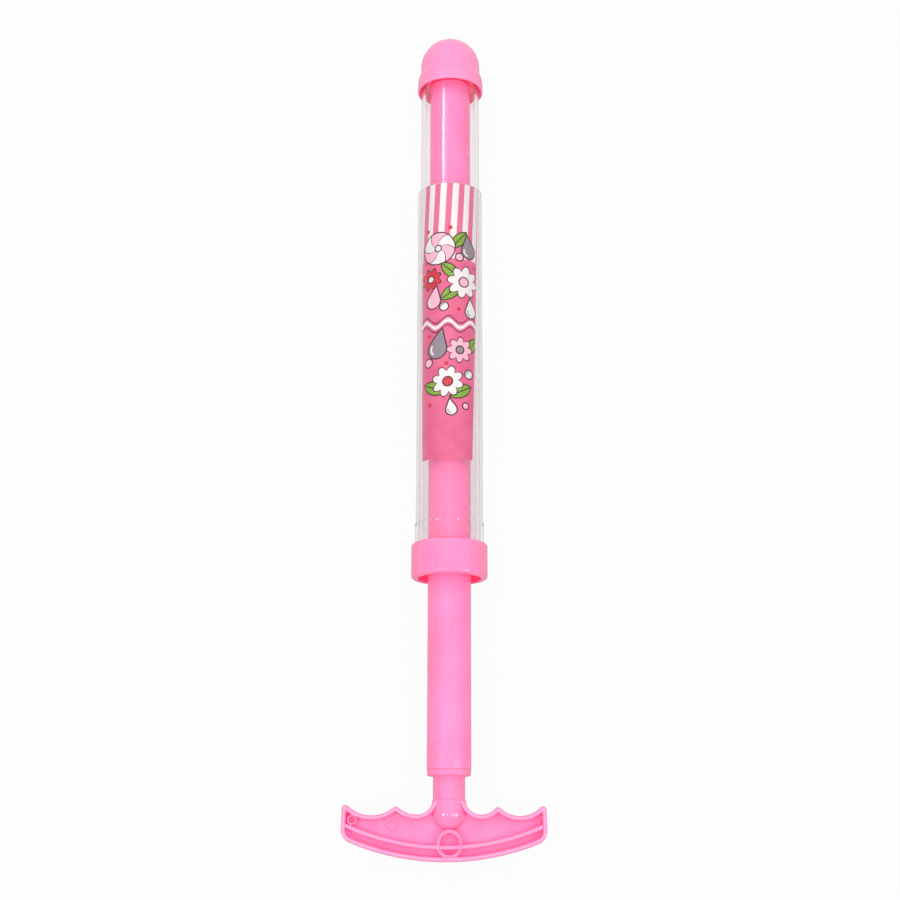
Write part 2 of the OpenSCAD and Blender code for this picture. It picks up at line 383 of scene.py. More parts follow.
pinkMoulded = pinkPlastic("pinkMoulded", 0.03)
pinkGrip = pinkPlastic("pinkGrip", 0.03, withCrest=True)
# painted light: lighter pink on the cap
pinkCapLit = pinkPlastic("pinkCapLit", 0.03, "capLitPink", "capLitDeep")
pinkDrawn = pinkPlastic("pinkDrawn", 0.22, "rodPink", "rodDeep", withLines=True)
# painted shade: deep red piston for the shaded hollow under the cap
pinkPistonShaded = pinkPlastic("pinkPistonShaded", 0.1, "pistonShadeRed", "pistonShadeDeep")
clearBarrel = clearPlastic("clearBarrel", "barrelClear", "barrelDull", "bending")
clearSleeve = clearPlastic("clearSleeve", "sleeveClear", "sleeveDull", "bending")
# painted shade on the sleeve's step
clearStepShade = clearPlastic("clearStepShade", "stepShadeClear", "stepShadeDull", "stepShadeBending")
cutEdge = grainyFinish("cutEdge", "cutPale", "cutDull", alpha=0.6)  # sawn end of a tube
sealShadeRed = grainyFinish("sealRubber", "sealShadeRed", "dust", share=0.5)  # painted shade in the seals' deep red, with a dusty bloom of their own
paper = grainyFinish("paperBack", "paper", "paperFibre")
print("finishes made")


# Printed sheet: stripes over a plain field with garden and water motifs, on a map in mm

printInk = {
    "field": colour(213, 88, 127),
    "fieldLight": colour(219, 101, 139),
    "stripe": colour(217, 104, 138),
    "white": colour(227, 223, 223),
    "line": colour(58, 14, 26),
    "green": colour(124, 170, 44),
    "red": colour(200, 34, 52),
    "grey": colour(136, 128, 138),
    "pale": colour(240, 176, 196),
}
printShape = {
    "stripesFrom": 110.7, "pitch": 6.56, "stripeShift": 3.2, "pinkShare": 0.49, "stripeSoft": 0.015,
    "lean": 0.052, "leanFrom": 154.7, "lineWidth": 0.36, "soft": 0.12,
}


def motifPlace():
    # map coordinates turned about a motif's centre, in units of its size
    group, given, made = newGroup("motifPlace", {"Vector": "Vector Centre", "Float": "Size Turn"},
                                  {"Float": "X Y Radius Angle"})
    both = {0: given["Vector"], 1: given["Centre"]}
    moved = put(group, "ShaderNodeVectorMath", both, operation="SUBTRACT").outputs[0]
    aim = {"Vector": moved, "Angle": given["Turn"]}
    turned = put(group, "ShaderNodeVectorRotate", aim, rotation_type="Z_AXIS").outputs[0]
    parts = put(group, "ShaderNodeSeparateXYZ", {0: turned}).outputs
    x = calc(group, "DIVIDE", parts[0], given["Size"])
    y = calc(group, "DIVIDE", parts[1], given["Size"])
    square = timesPlus(group, x, x, times(group, y, y))
    for label, value in (("X", x), ("Y", y), ("Radius", calc(group, "SQRT", square)),
                         ("Angle", calc(group, "ARCTAN2", y, x))):
        feed(group, made[label], value)
    return group


placeOf = motifPlace()


def stamped(group, given, base, edge, fill):
    # fill where edge is below 0, then a line of even width along it; edge is in units of the size
    gap = times(group, edge, given["Size"])
    soft, width = printShape["soft"], printShape["lineWidth"]
    inside = ramp(group, gap, -soft, soft, 1.0, 0.0)
    body = mixColour(group, inside, base, fill)
    onLine = ramp(group, calc(group, "ABSOLUTE", gap), width - soft, width + soft, 1.0, 0.0)
    return mixColour(group, onLine, body, given["Line"])


def newMotif(name, draw):
    # group that lays one motif over the colour Base
    group, given, made = newGroup(name, {
        "Color": "Base Fill Accent Line", "Vector": "Vector Centre", "Float": "Size Turn",
    }, {"Color": "Colour"})
    at = useGroup(group, placeOf, {key: given[key] for key in ("Vector", "Centre", "Size", "Turn")})
    feed(group, made["Colour"], draw(group, given, at))
    return group


def daisyMotif(group, given, at):
    # eight petals: the edge's radius rises and falls with the angle, and a round heart sits on top
    lobe = calc(group, "ABSOLUTE", calc(group, "COSINE", times(group, at["Angle"], 4)))
    edge = minus(group, at["Radius"], timesPlus(group, lobe, 0.34, 0.66))
    flower = stamped(group, given, given["Base"], edge, given["Fill"])
    heart = minus(group, at["Radius"], 0.3)
    return stamped(group, given, flower, heart, given["Accent"])


def dropMotif(group, given, at):
    # circle with two straight sides that meet over it: the sides take over above their touching points
    side = calc(group, "ABSOLUTE", at["X"])
    sine, cosine = 0.46, 0.888
    above = minus(group, times(group, at["Y"], cosine), times(group, side, sine))
    slope = timesPlus(group, side, cosine, times(group, at["Y"], sine))
    onTop = calc(group, "GREATER_THAN", above, 0.0)
    mixed = mixValue(group, onTop, at["Radius"], slope)
    drop = stamped(group, given, given["Base"], minus(group, mixed, 1.0), given["Fill"])
    ringGap = calc(group, "ABSOLUTE", minus(group, at["Radius"], 0.62))
    left = calc(group, "LESS_THAN", at["X"], -0.2)
    low = calc(group, "LESS_THAN", at["Y"], 0.25)
    glint = times(group, ramp(group, ringGap, 0.07, 0.13, 1.0, 0.0), times(group, left, low))
    return mixColour(group, glint, drop, given["Accent"])


def leafMotif(group, given, at):
    # lens between two circles, with a midrib and slanting veins
    side = calc(group, "ABSOLUTE", at["X"])
    outX = calc(group, "ADD", side, 0.75)
    span = calc(group, "SQRT", timesPlus(group, outX, outX, times(group, at["Y"], at["Y"])))
    edge = minus(group, span, 1.25)
    leaf = stamped(group, given, given["Base"], edge, given["Fill"])
    slant = times(group, minus(group, at["Y"], side), 18.0)
    veins = ramp(group, calc(group, "COSINE", slant), 0.8, 0.97)
    rib = ramp(group, side, 0.03, 0.07, 1.0, 0.0)
    inLeaf = ramp(group, edge, -0.1, -0.04, 1.0, 0.0)
    marks = times(group, calc(group, "MAXIMUM", times(group, veins, 0.6), rib), inLeaf)
    return mixColour(group, marks, leaf, given["Accent"])


def ballMotif(group, given, at):
    # disc cut into bowed panels of two colours around a small cap
    bow = timesPlus(group, at["Radius"], 0.9, at["Angle"])
    wave = calc(group, "SINE", times(group, bow, 3.0))
    panel = mixColour(group, ramp(group, wave, -0.06, 0.06), given["Fill"], given["Accent"])
    seam = ramp(group, calc(group, "ABSOLUTE", wave), 0.06, 0.16, 1.0, 0.0)
    panel = mixColour(group, seam, panel, given["Line"])
    ball = stamped(group, given, given["Base"], minus(group, at["Radius"], 1.0), panel)
    capEdge = minus(group, at["Radius"], 0.2)
    return stamped(group, given, ball, capEdge, given["Fill"])


def bubbleMotif(group, given, at):
    # outlined disc with a short arc of light inside its upper left
    disc = stamped(group, given, given["Base"], minus(group, at["Radius"], 1.0), given["Fill"])
    gap = calc(group, "ABSOLUTE", minus(group, at["Radius"], 0.62))
    upper = calc(group, "LESS_THAN", minus(group, at["X"], at["Y"]), -0.45)
    glint = times(group, ramp(group, gap, 0.09, 0.16, 1.0, 0.0), upper)
    return mixColour(group, glint, disc, given["Accent"])


motifs = {kind: newMotif(kind + "Motif", draw) for kind, draw in (
    ("daisy", daisyMotif), ("drop", dropMotif), ("leaf", leafMotif),
    ("ball", ballMotif), ("bubble", bubbleMotif))}
# motif, across, height over the sheet's lower edge, size, turn in degrees, fill, accent
printLayout = [
    ("leaf", 6.8, 121.6, 6.2, 38, "green", "line"), ("ball", -4.4, 116.8, 9.2, 12, "white", "pale"),
    ("drop", 12.6, 115.8, 4.4, -10, "grey", "white"), ("bubble", 7.4, 111.6, 2.2, 0, "pale", "white"),
    ("leaf", 2.8, 104.0, 6.4, -50, "green", "line"), ("leaf", 3.8, 91.4, 6.6, 52, "green", "line"),
    ("daisy", 10.6, 97.6, 9.2, 8, "white", "pale"), ("daisy", -7.8, 99.6, 6.2, 20, "red", "white"),
    ("drop", -5.6, 86.8, 4.2, 10, "pale", "white"), ("bubble", 0.6, 83.4, 2.4, 0, "white", "grey"),
    ("drop", 15.8, 81.4, 3.6, -8, "white", "grey"), ("drop", -2.0, 59.8, 5.4, 12, "grey", "white"),
    ("bubble", -6.6, 52.6, 2.4, 0, "pale", "white"), ("leaf", 17.4, 62.4, 5.6, 34, "green", "line"),
    ("daisy", 10.4, 59.2, 7.2, 0, "pale", "grey"), ("leaf", -2.6, 38.2, 6.8, -66, "green", "line"),
    ("leaf", 12.2, 36.4, 6.6, 62, "green", "line"), ("daisy", 4.8, 41.6, 8.6, 14, "white", "red"),
    ("bubble", 16.2, 46.2, 2.5, 0, "white", "grey"), ("bubble", 15.2, 28.6, 1.8, 0, "pale", "white"),
    ("drop", 7.6, 26.2, 3.0, -12, "white", "grey"),
]
# tiny plain red dots: across, height, size
printDots = [
    (-11.4, 127.6, 1.2), (1.6, 128.6, 1.2), (17.2, 107.0, 1.1), (-11.6, 109.4, 1.1),
    (8.6, 82.0, 1.1), (3.6, 51.6, 1.1), (-7.0, 67.4, 1.0), (-4.4, 29.2, 1.1),
]
# rolling lines: height, rise, length of a wave, width, ink
printWaves = [
    (73.6, 2.0, 13.0, 1.0, "white"), (71.0, 2.0, 13.0, 0.34, "line"), (76.2, 2.0, 13.0, 0.34, "line"),
]


def printedSheet():
    # cloudy field, stripes over its upper end, then waves, dots and motifs, each laid over what is below it
    material, tree, surface = newMaterial("printedSheet")
    flat = put(tree, "ShaderNodeUVMap", uv_map="sheetMap").outputs[0]
    parts = put(tree, "ShaderNodeSeparateXYZ", {0: flat}).outputs
    # the print leans, so its own across is measured from a slanted line
    below = minus(tree, printShape["leanFrom"], parts[1])
    across = timesPlus(tree, below, printShape["lean"], parts[0])
    at = put(tree, "ShaderNodeCombineXYZ", {0: across, 1: parts[1]}).outputs[0]
    cloud = noiseAt(tree, at, 0.12, 3)
    ink = mixColour(tree, ramp(tree, cloud, 0.3, 0.7), printInk["field"], printInk["fieldLight"])
    stripeAcross = calc(tree, "ADD", across, printShape["stripeShift"])
    phase = calc(tree, "FRACT", calc(tree, "DIVIDE", stripeAcross, printShape["pitch"]))
    offMiddle = calc(tree, "ABSOLUTE", minus(tree, phase, 0.5))
    half, stripeSoft, soft = printShape["pinkShare"] / 2, printShape["stripeSoft"], printShape["soft"]
    onWhite = ramp(tree, offMiddle, half - stripeSoft, half + stripeSoft)
    bars = mixColour(tree, onWhite, printInk["stripe"], printInk["white"])
    overEdge = ramp(tree, parts[1], printShape["stripesFrom"] - 0.1, printShape["stripesFrom"] + 0.1)
    ink = mixColour(tree, overEdge, ink, bars)
    for height, rise, length, width, name in printWaves:
        wave = calc(tree, "SINE", times(tree, across, 2 * math.pi / length))
        above = minus(tree, parts[1], height)
        gap = calc(tree, "ABSOLUTE", minus(tree, above, times(tree, wave, rise)))
        onWave = ramp(tree, gap, width - soft, width + soft, 1.0, 0.0)
        ink = mixColour(tree, onWave, ink, printInk[name])
    for x, y, size in printDots:
        spot = useGroup(tree, placeOf, {"Vector": at, "Centre": (x, y, 0), "Size": size})
        ink = mixColour(tree, ramp(tree, spot["Radius"], 0.88, 1.1, 1.0, 0.0), ink, printInk["red"])
    for kind, x, y, size, turn, fill, accent in printLayout:
        ink = useGroup(tree, motifs[kind], {
            "Base": ink, "Vector": at, "Centre": (x, y, 0), "Size": size, "Turn": math.radians(turn),
            "Fill": printInk[fill], "Accent": printInk[accent], "Line": printInk["line"]})[0]
    grain = noiseAt(tree, at, 2.6, 3, 0.6)
    shade = mixColour(tree, times(tree, grain, 0.16), ink, (0.35, 0.3, 0.3, 1), "MULTIPLY")
    principled(tree, surface, {
        "Base Color": shade, "Roughness": timesPlus(tree, grain, 0.15, 0.32),
        "Normal": bumped(tree, grain, 0.04, 0.0002)})
    return material


labelShape = {
    "leftLow": -59.0, "leftHigh": -63.5, "rightLow": 45.5, "rightHigh": 65.0,
    "radius": 16.25, "thick": 0.2, "curl": 0.072, "curlWide": 0.12, "curlHigh": 0.05,
    "across": 72, "along": 120,
}


def labelShell(shape, node):
    # angle runs between two slanting edges and height along the sheet; front and back are 'thick' apart
    low, high = ends(node)
    s = np.linspace(0, 1, shape["across"])[None, :]
    t = np.linspace(0, 1, shape["along"])[:, None]
    left = shape["leftLow"] + (shape["leftHigh"] - shape["leftLow"]) * t
    right = shape["rightLow"] + (shape["rightHigh"] - shape["rightLow"]) * t
    angle = np.radians(left + (right - left) * s)
    height = low + (high - low) * t + 0 * s
    away = (s / shape["curlWide"]) ** 2 + (t / shape["curlHigh"]) ** 2
    lift = shape["curl"] * np.exp(-away)  # the lower left corner bends inwards a little
    flat = np.stack([angle * shape["radius"], height - low], axis=-1)
    sides = []
    for offset in (shape["thick"] / 2, -shape["thick"] / 2):
        r = shape["radius"] + offset - lift
        sides.append(np.stack([r * np.sin(angle), height, r * np.cos(angle)], axis=-1))
    loop = np.concatenate([sides[0], sides[1][:, ::-1]], axis=1)
    sheetMap = np.concatenate([flat, flat[:, ::-1]], axis=1)
    rows, wide = loop.shape[:2]
    quads = gridFaces(rows, wide, False, True)
    front = np.tile(np.arange(wide) < shape["across"] - 1, rows - 1)
    c = np.arange(shape["across"] - 1)
    lower = np.stack([c + 1, c, wide - 1 - c, wide - 2 - c], axis=-1)
    upper = lower[:, ::-1] + (rows - 1) * wide
    slots = np.concatenate([np.where(front, 0, 1), np.ones(2 * len(c), int)])
    return (loop.reshape(-1, 3), np.concatenate([quads, lower, upper])), slots, sheetMap.reshape(-1, 2)


sheetShell, sheetSlots, sheetMap = labelShell(labelShape, "label_sheet")
label = makePiece("printedLabel", [sheetShell], [printedSheet(), paper], 40, sheetSlots, sheetMap)
settle(label, "barrel", "label_sheet")
print("sheet printed with", len(printLayout), "motifs")

# Clear tubes

tubeShape = {
    "bore": 14.1, "barrelOuter": 16.0, "edge": 0.35, "segments": 384,
    "sleeveInner": 16.5, "sleeveOuter": 17.5, "innerEdge": 0.2, "lip": 0.3, "lipShare": 0.7,
    "foot": 17.85, "footHigh": 19.4, "footEdge": 0.16, "footSlope": 0.15, "stepHigh": 0.3,
    "bead": 0.1, "beadLong": 0.6, "beadFlat": 0.16, "beadEdge": 0.1,
}


def plainTube(inner, outer, edge, node):
    # wall of a straight tube from end to end of a solid, with its four edges rounded
    low, high = ends(node)
    return rounded([(inner, low, edge), (outer, low, edge), (outer, high, edge), (inner, high, edge)])


def sleeveSection(shape, node):
    # up the foot and its bead, in to the sleeve, up to the sawn lip and down the bore
    low, high = ends(node)
    footTop = low + shape["footHigh"]
    inner, outer, foot = shape["sleeveInner"], shape["sleeveOuter"], shape["foot"]
    edge, lip = shape["beadEdge"], shape["lip"]
    section = rounded([
        (inner, low, shape["innerEdge"]), (foot, low, lip), (foot, footTop - shape["beadLong"], edge),
        (foot + shape["bead"], footTop - shape["beadFlat"], edge), (foot + shape["bead"], footTop, edge),
        (outer, footTop + shape["footSlope"], shape["footEdge"]), (outer, high, lip), (inner, high, lip)])
    up = section[:, 1]
    onStep = (up > footTop - shape["beadFlat"]) & (up < footTop + shape["stepHigh"])
    onLip = up > high - lip * shape["lipShare"]
    # the step is tinted greyer, a painted dark line along its edge, and the lip is dull: finish 1 and
    # finish 2
    return section, 1 * (onStep & np.roll(onStep, -1)) + 2 * (onLip & np.roll(onLip, -1))


barrelWall = plainTube(tubeShape["bore"], tubeShape["barrelOuter"], tubeShape["edge"], "barrel_tube")
barrel = makePiece("clearBarrel", [turnedShell(barrelWall, tubeShape["segments"])], [clearBarrel])
settle(barrel, "barrel", "barrel_tube")
sleeveWall, sleeveSlots = sleeveSection(tubeShape, "sleeve_tube")
sleeve = makePiece("clearSleeve", [turnedShell(sleeveWall, tubeShape["segments"])],
                   [clearSleeve, clearStepShade, cutEdge], 40, np.repeat(sleeveSlots, tubeShape["segments"]))
settle(sleeve, "barrel", "sleeve_tube")
for tube in (barrel, sleeve):  # lamp light and light scattered inside pass straight through
    tube.visible_shadow = False
    tube.visible_diffuse = False
print("clear tubes turned")

# Nozzle cap

capShape = {
    "rim": 18.2, "rimEdge": 0.2, "band": 4.4, "flare": 9.4, "flareShare": 0.97,
    "dome": 16.5, "domeHigh": 23.0, "wall": 2.3, "ledge": 4.9, "bore": 14.1, "throat": 12.6,
    "socket": 16.05, "socketDeep": 9.0, "leadIn": 1.2, "leadHigh": 6.0, "leadEdge": 0.15,
    "jet": 1.5, "jetEdge": 0.5, "spout": 3.7, "spoutLong": 6.0,
}


def capSection(shape, node):
    # from the rim up the flare and over the dome to the jet, then down the inside to the socket
    low = ends(node)[0]
    seat = low + shape["socketDeep"]
    top = seat + shape["domeHigh"]
    middle = top - shape["dome"]
    step = shape["rim"] - shape["dome"]
    bend = (step ** 2 + shape["flare"] ** 2) / (4 * step)
    slope = math.asin(shape["flare"] / 2 / bend)
    reach = step / 2 / math.tan(slope)
    halfway = low + shape["band"] + shape["flare"] / 2
    bend *= shape["flareShare"]
    outside = rounded([
        (shape["socket"] + shape["leadIn"], low, shape["leadEdge"]), (shape["rim"], low, shape["rimEdge"]),
        (shape["rim"], halfway - reach, bend), (shape["dome"], halfway + reach, bend),
        (shape["dome"], middle, 0), (shape["socket"], middle, 0),
    ], 12)[:48]  # the first four corners
    wide = shape["jet"] + shape["jetEdge"]
    tipTurn = math.degrees(math.asin(wide / shape["dome"]))
    dome = arcPoints((0, middle), shape["dome"], 0, 90 - tipTurn, 40)
    lip = middle + math.sqrt(shape["dome"] ** 2 - wide ** 2)
    mouth = arcPoints((wide, lip - shape["jetEdge"]), shape["jetEdge"], 90, 180, 6)
    inner = shape["dome"] - shape["wall"]
    spoutLow = top - shape["wall"] - shape["spoutLong"]
    spoutTurn = math.degrees(math.asin(shape["spout"] / inner))
    throatTurn = math.degrees(math.acos(shape["throat"] / inner))
    hollow = arcPoints((0, middle), inner, 90 - spoutTurn, throatTurn, 24)
    spout = np.array([(shape["jet"], spoutLow), (shape["spout"], spoutLow)])
    socket = np.array([
        (shape["throat"], seat + shape["ledge"]), (shape["bore"], seat + shape["ledge"]),
        (shape["bore"], seat), (shape["socket"], seat), (shape["socket"], low + shape["leadHigh"])])
    return np.concatenate([outside, dome, mouth, spout, hollow, socket])


cap = makePiece("nozzleCap", [turnedShell(capSection(capShape, "nozzle_cap"), 224)], [pinkCapLit])
settle(cap, "barrel", "nozzle_cap")

# Collar

collarShape = {
    "outer": 19.75, "edge": 1.65, "seat": 17.9, "seatEdge": 0.1, "web": 3.0,
    "hole": 11.35, "recess": 16.35, "recessDeep": 6.0, "small": 0.35,
}


def collarSection(shape, node):
    # round the outside, down the sleeve's seat to the web, through its hole and out of the recess
    low, high = ends(node)
    webLow = low + shape["recessDeep"]
    webHigh, small = webLow + shape["web"], shape["small"]
    return rounded([
        (shape["recess"], low, small), (shape["outer"], low, shape["edge"]),
        (shape["outer"], high, shape["edge"]), (shape["seat"], high, shape["seatEdge"]),
        (shape["seat"], webHigh, small), (shape["hole"], webHigh, small),
        (shape["hole"], webLow, small), (shape["recess"], webLow, small)], 9)


collar = makePiece("collarRing", [turnedShell(collarSection(collarShape, "collar"), 224)], [pinkMoulded])
settle(collar, "barrel", "collar")
print("cap and collar turned")

# Plunger: rod, piston with its two seals, tail plug

plungerShape = {
    "rod": 11.1, "rodInner": 9.6, "rodEdge": 0.3, "plug": 9.55, "plugEdge": 0.5, "seatEdge": 0.1,
    "flange": 10.95, "flangeLow": 1.1, "flangeTop": 0.35, "stemHole": 8.05, "holeEdge": 0.3,
    "piston": 13.7, "pistonLong": 11.0, "pistonLow": 0.4, "pistonTop": 0.6, "core": 6.5, "coreEdge": 0.3,
    "groove": 11.6, "grooveHalf": 1.25, "grooveEdge": 0.15,
    "sealInset": 3.0, "seal": 1.2, "sealMiddle": 12.85,
}


def headSection(shape, node):
    # hollow plug, then the piston's side with a groove at the height of each seal
    low, high = ends(node)
    base = high - shape["pistonLong"]
    sealHeights = [base + shape["sealInset"], high - shape["sealInset"]]
    core, plug, piston, groove = (shape[key] for key in ("core", "plug", "piston", "groove"))
    grooves = [(r, at + side * shape["grooveHalf"], shape["grooveEdge"]) for at in sealHeights
               for side, r in ((-1, piston), (-1, groove), (1, groove), (1, piston))]
    section = rounded([
        (0, base, 0), (core, base, shape["coreEdge"]), (core, low, shape["coreEdge"]),
        (plug, low, shape["plugEdge"]), (plug, base, shape["seatEdge"]), (piston, base, shape["pistonLow"]),
        *grooves, (piston, high, shape["pistonTop"]), (0, high, 0)], 6)
    return section, sealHeights


def tailSection(shape, node, rodNode):
    # ring-shaped flange under the rod's end, and the plug above it inside the rod
    low, high = ends(node)
    seat = ends(rodNode)[0]
    return rounded([
        (shape["stemHole"], low, shape["holeEdge"]), (shape["flange"], low, shape["flangeLow"]),
        (shape["flange"], seat, shape["flangeTop"]), (shape["plug"], seat, shape["seatEdge"]),
        (shape["plug"], high, shape["plugEdge"]), (shape["stemHole"], high, shape["holeEdge"])])


rodWall = plainTube(plungerShape["rodInner"], plungerShape["rod"], plungerShape["rodEdge"], "rod_tube")
rod = makePiece("plungerRod", [turnedShell(rodWall)], [pinkDrawn])
settle(rod, "plunger", "rod_tube")
headWall, sealHeights = headSection(plungerShape, "piston_head")
head = makePiece("pistonHead", [turnedShell(headWall, 160, False)], [pinkPistonShaded])
settle(head, "plunger", "piston_head")
for name, node, height in (("rearSeal", "piston_ring_rear", sealHeights[0]),
                           ("frontSeal", "piston_ring_front", sealHeights[1])):
    section = arcPoints((plungerShape["sealMiddle"], height), plungerShape["seal"], 0, 345, 24)
    seal = makePiece(name, [turnedShell(section, 160)], [sealShadeRed])
    settle(seal, "piston_seals", node)
tailWall = tailSection(plungerShape, "tail_plug", "rod_tube")
tail = makePiece("tailPlug", [turnedShell(tailWall)], [pinkMoulded])
settle(tail, "plunger", "tail_plug")
print("plunger turned")

# Handle: outline of circles, each given as centre, radius and side of the plastic

gripShape = {
    "reach": (53.4, 48.6), "knuckle": (26.2, 24.1), "knuckleHigh": 26.87,
    "tipHigh": (27.3, 26.85), "tipWide": 2.65, "tip": 1.7, "peak": 1.6,
    "scallop": 5.0, "innerScallop": 4.4, "innerMiddle": 15.9, "corner": 7.0,
    "bottom": 127.0, "bottomLow": -0.33, "arcAside": -1.75, "wallLean": 2.0, "wallHigh": 10.0,
    "neckHigh": 29.4, "neckRoot": 8.0, "neckCorner": 1.2,
    "rimWide": 2.6, "rimThick": 12.0, "rimRound": 1.06, "draft": 0.2, "crestWide": 0.55,
    "web": 2.4, "root": 0.9, "rootReach": 2.2, "sink": 0.3,
    "rib": 120.0, "ribHigh": 6.6, "ribWide": 2.2, "ribThick": 10.4, "ribRound": 0.6, "ribRoot": 0.6,
    "ribFoot": 1.2, "ribFlare": 0.12, "ribDraft": 0.08, "ribInset": 1.0,
    "ring": 7.25, "ringWall": 2.15, "ringNarrow": 0.91, "ringHigh": 8.2, "ringAside": 0.3, "ringProud": 0.2,
    "ringFoot": 0.9, "ringRoot": 0.45, "ringDraft": 0.1, "ringRound": 0.5,
    "ball": 8.3, "ballHigh": 22.9, "stem": 8.0, "stemEdge": 0.4, "neck": 8.15,
    "band": 8.5, "bandLong": 1.5, "bandSlope": 0.5, "bandRounds": (0.6, 0.4, 0.45, 0.1),
    "pinBoss": (-47.6, 19.8, 2.5), "bossWall": 0.9, "bossHigh": 3.0,
    "pinMark": (-27.7, 16.8, 2.6), "markWall": 0.5, "markHigh": 0.5,
    "gatePad": (43.5, 19.95, 2.9), "padWall": 0.6, "padHigh": 0.8,
    "markSoft": 0.4, "farAway": 1e5,
}


def circleMeet(one, oneRadius, two, twoRadius, near):
    # the point where two circles cross that is closer to near, for whole arrays of radii
    gap = np.array(two) - np.array(one)
    span = np.hypot(*gap)
    along = (span ** 2 + oneRadius ** 2 - twoRadius ** 2) / (2 * span)
    up = np.sqrt(np.maximum(oneRadius ** 2 - along ** 2, 0))
    unit = gap / span
    side = np.array([-unit[1], unit[0]])
    foot = np.array(one) + along[:, None] * unit
    both = np.stack([foot + up[:, None] * side, foot - up[:, None] * side])
    pick = np.argmin(np.linalg.norm(both - np.array(near), axis=-1), axis=0)
    return both[pick, np.arange(len(pick))]


def chordCircle(first, last, deep):
    # circle through two points whose arc dips 'deep' below their chord
    first, last = np.array(first), np.array(last)
    chord = last - first
    long = np.hypot(*chord)
    size = (long ** 2 / 4 + deep ** 2) / (2 * deep)
    up = np.array([-chord[1], chord[0]]) / long
    return (first + last) / 2 + up * (size - deep), size


def gripOutline(shape):
    # sides round the grip: circle centre, radius, +1 where it holds the plastic, points; then the joints
    far = shape["farAway"]
    sides = [((shape["arcAside"], shape["bottom"] + shape["bottomLow"]), shape["bottom"], 1, 150)]
    joints = []
    halves = []
    lean = math.radians(shape["wallLean"])
    for sign, half in ((1, 1), (-1, 0)):
        reach, tipHigh = shape["reach"][half], shape["tipHigh"][half]
        knuckle, level = shape["knuckle"][half], shape["knuckleHigh"]
        outer = chordCircle((knuckle, level), (reach - shape["tipWide"], tipHigh), shape["scallop"])
        inner = chordCircle((2 * shape["innerMiddle"] - knuckle, level), (knuckle, level),
                            shape["innerScallop"])
        flip = np.array([sign, 1])
        wallMiddle = (reach - far * math.cos(lean), shape["wallHigh"] - far * math.sin(lean))
        rootMiddle = inner[0] - (0, inner[1] - shape["neckRoot"])  # touches the scallop at its lowest point
        halfSides = [
            (flip * wallMiddle, far, 1, 10),
            (flip * outer[0], outer[1], -1, 46),
            (flip * inner[0], inner[1], -1, 24),
            (flip * rootMiddle, shape["neckRoot"], -1, 20),
        ]
        halfJoints = [  # rounding, hint of its place, points
            (shape["corner"], flip * (reach, shape["wallHigh"]), 16),
            (shape["tip"], flip * (reach, tipHigh), 12),
            (shape["peak"], flip * (knuckle, level), 9),
            (0, flip * (shape["innerMiddle"], level - shape["innerScallop"]), 1),
            (shape["neckCorner"], flip * (shape["innerMiddle"] - shape["neckRoot"], shape["neckHigh"]), 7),
        ]
        halves.append((halfSides, halfJoints))
    sides += halves[0][0] + [((0, shape["neckHigh"] - far), far, 1, 20)] + halves[1][0][::-1]
    joints += halves[0][1] + halves[1][1][::-1]
    return sides, joints


def gripLoops(shape, depths):
    # closed loops of the outline set back by each depth; a rounding shrinks to a sharp corner further in
    sides, joints = gripOutline(shape)
    depths = np.asarray(depths, float)
    count = len(sides)
    corners = []
    for k, (rounding, hint, points) in enumerate(joints):
        one, two = sides[k], sides[(k + 1) % count]
        back = np.maximum(depths, rounding) if rounding > 0 else np.full(len(depths), rounding)
        corners.append(circleMeet(one[0], one[1] - one[2] * back, two[0], two[1] - two[2] * back, hint))

    def touching(side, corner):
        out = corner - np.array(side[0])
        out /= np.linalg.norm(out, axis=1, keepdims=True)
        return np.array(side[0]) + out * (side[1] - side[2] * depths)[:, None]

    def between(centre, first, last, points):
        a, b = first - centre, last - centre
        start = np.arctan2(a[:, 1], a[:, 0])
        turn = (np.arctan2(b[:, 1], b[:, 0]) - start + np.pi) % (2 * np.pi) - np.pi
        angle = start[:, None] + turn[:, None] * (np.arange(points) / points)
        size = np.linalg.norm(a, axis=1)[:, None, None]
        return np.asarray(centre)[..., None, :] + size * np.stack([np.cos(angle), np.sin(angle)], axis=-1)

    runs = []
    for k, side in enumerate(sides):
        first, last = touching(side, corners[k - 1]), touching(side, corners[k])
        runs.append(between(np.broadcast_to(side[0], first.shape), first, last, side[3]))
        after = touching(sides[(k + 1) % count], corners[k])
        runs.append(between(corners[k], last, after, joints[k][2]))
    return np.concatenate(runs, axis=1)


def crestOf(shape, aside, up):
    # mask of the painted highlight: 1 along the middle of a rim or rib, falling off to both sides as a bell
    # curve; 0 down at the web
    return np.exp(-(aside / shape["crestWide"]) ** 2) * (np.abs(up) > shape["web"])


def gripShell(shape):
    # the rim's section (depth, up) is carried round the outline; flat faces close its two inner loops
    web, rim = shape["web"] / 2, shape["rimThick"] / 2
    wide, draft = shape["rimWide"], shape["draft"]
    half = rounded([
        (wide + shape["rootReach"], web, 0), (wide, web, shape["root"]),
        (wide - draft, rim, shape["rimRound"]), (draft, rim, shape["rimRound"]), (0, 0, 0),
    ], 9)
    half = half[np.r_[0, 9:len(half) - 8]]  # single first and last points
    section = np.concatenate([half, (half * [1, -1])[-2::-1]])
    loops = gripLoops(shape, section[:, 0])
    rows, count = loops.shape[:2]
    points = np.concatenate([loops, np.broadcast_to(section[:, None, 1:], (rows, count, 1))], axis=-1)
    quads = gridFaces(rows, count, False, True)[:, ::-1]
    order = np.arange(rows * count).reshape(rows, count)
    caps = [order[0].tolist(), order[-1, ::-1].tolist()]
    crest = np.repeat(crestOf(shape, section[:, 0] - wide / 2, section[:, 1]), count)
    return (points.reshape(-1, 3), quads), crest, caps


